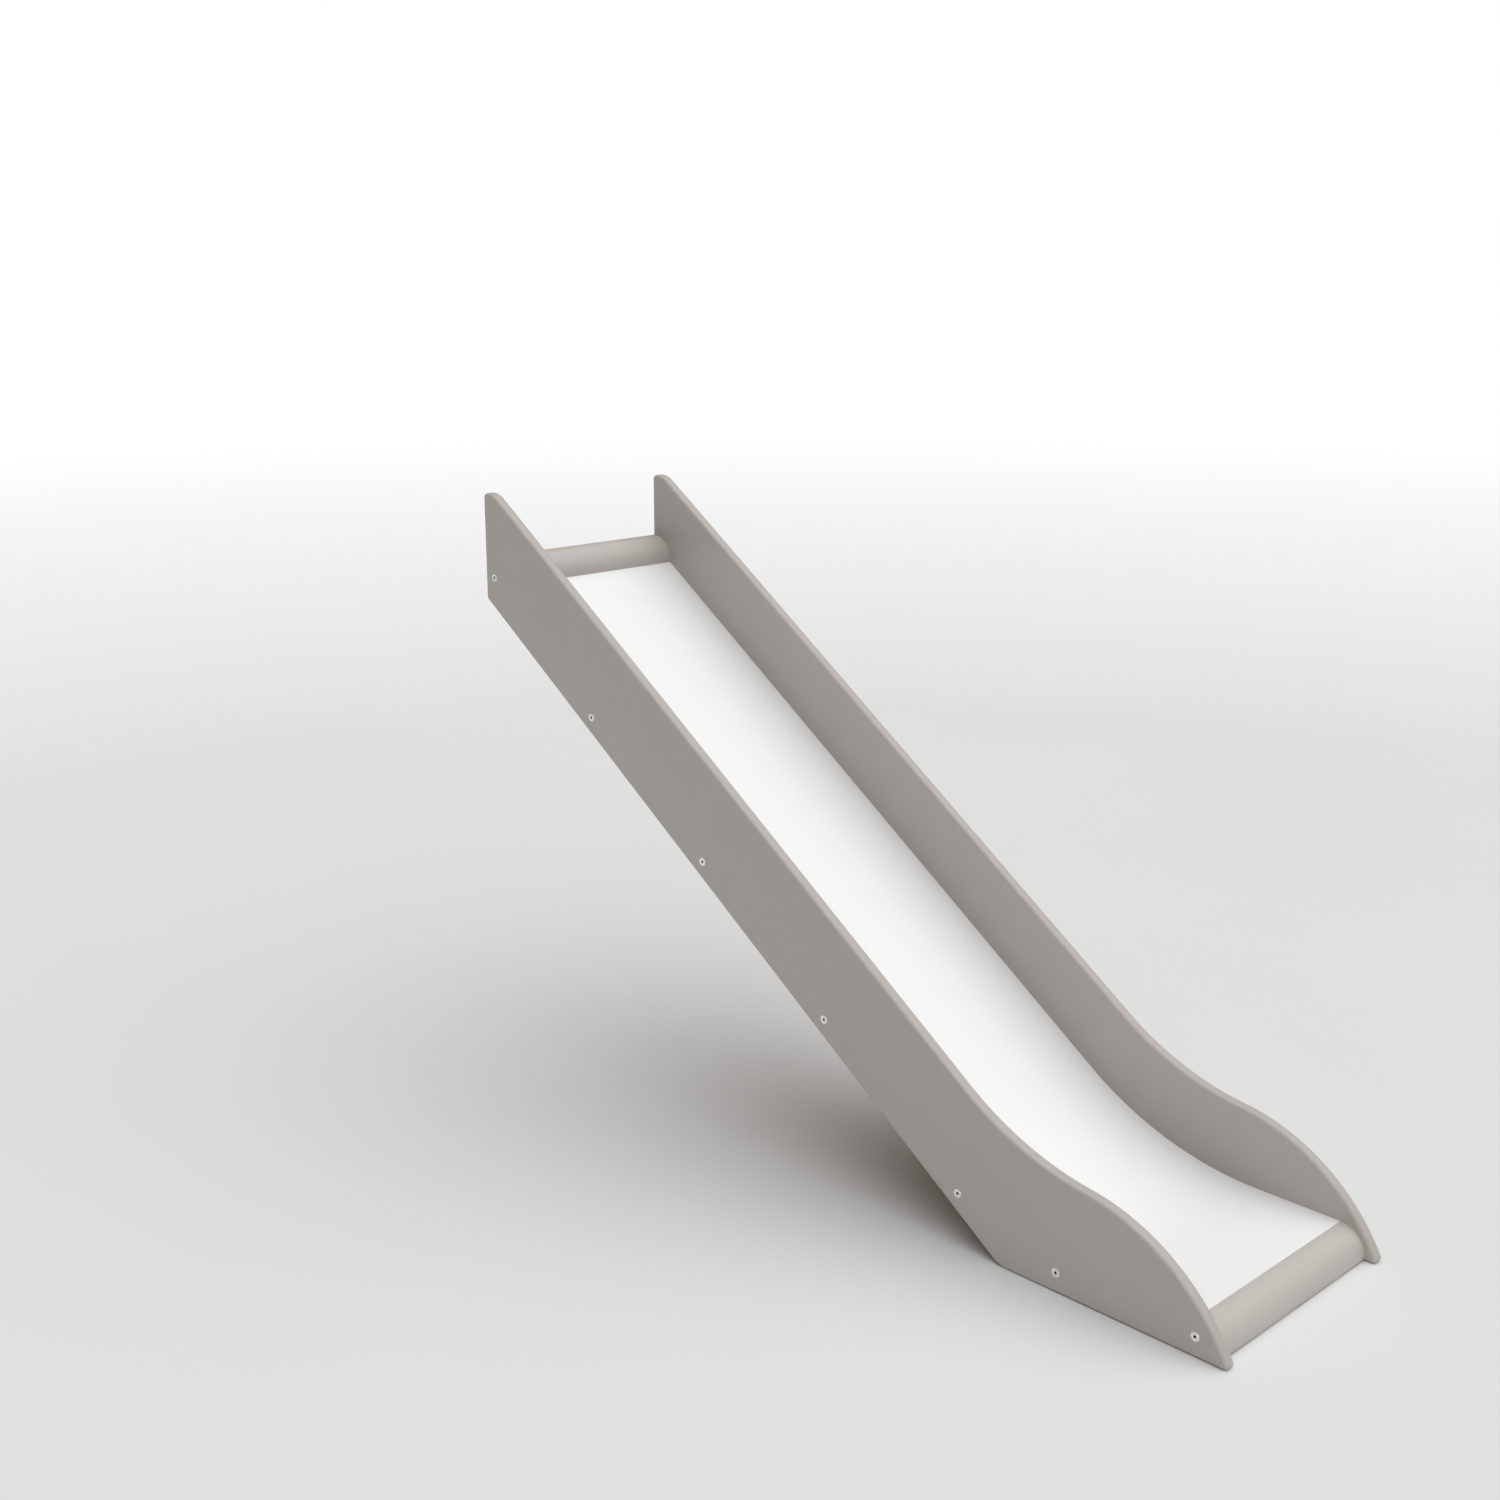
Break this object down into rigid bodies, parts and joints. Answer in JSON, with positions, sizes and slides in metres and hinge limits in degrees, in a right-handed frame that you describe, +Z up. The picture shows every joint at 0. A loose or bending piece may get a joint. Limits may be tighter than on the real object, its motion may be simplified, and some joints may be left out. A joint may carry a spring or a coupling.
{
  "type": "bed slide",
  "caption": "Straight children's slide with S-shaped lacquered side panels, a thin white sliding sheet, rounded end rails and cross battens; it hangs on a raised bed's side rail.",
  "frame": {"origin": "on the floor, midway across the slide and midway along its run", "axes": "+X across the slide, -Y towards the exit, +Y towards the bed, +Z up"},
  "size_m": [0.394, 1.493, 0.9702],
  "materials": {
    "grey_lacquer": "satin lacquer on board, with soft rounded edges",
    "white_laminate": "smooth satin laminate on a thin hardboard sheet",
    "pine": "planed, clear",
    "beech": "turned, bare",
    "nickel_steel": "nickel plated",
    "zinc_steel": "zinc plated"
  },
  "bodies": {
    "root": {"left_side_panel": "grey_lacquer", "right_side_panel": "grey_lacquer", "sliding_sheet": "white_laminate", "mounting_inserts": "zinc_steel", "top_rail": "grey_lacquer", "batten_1": "pine", "batten_2": "pine", "batten_3": "pine", "batten_4": "pine", "batten_5": "pine", "bottom_rail": "grey_lacquer", "top_rail_bolts": "nickel_steel", "top_rail_barrel_nuts": "zinc_steel", "top_rail_dowels": "beech", "batten_1_bolts": "nickel_steel", "batten_1_barrel_nuts": "zinc_steel", "batten_1_dowels": "beech", "batten_2_bolts": "nickel_steel", "batten_2_barrel_nuts": "zinc_steel", "batten_2_dowels": "beech", "batten_3_bolts": "nickel_steel", "batten_3_barrel_nuts": "zinc_steel", "batten_3_dowels": "beech", "batten_4_bolts": "nickel_steel", "batten_4_barrel_nuts": "zinc_steel", "batten_4_dowels": "beech", "batten_5_bolts": "nickel_steel", "batten_5_barrel_nuts": "zinc_steel", "batten_5_dowels": "beech", "bottom_rail_bolts": "nickel_steel", "bottom_rail_barrel_nuts": "zinc_steel", "bottom_rail_dowels": "beech"}
  },
  "joints": []
}
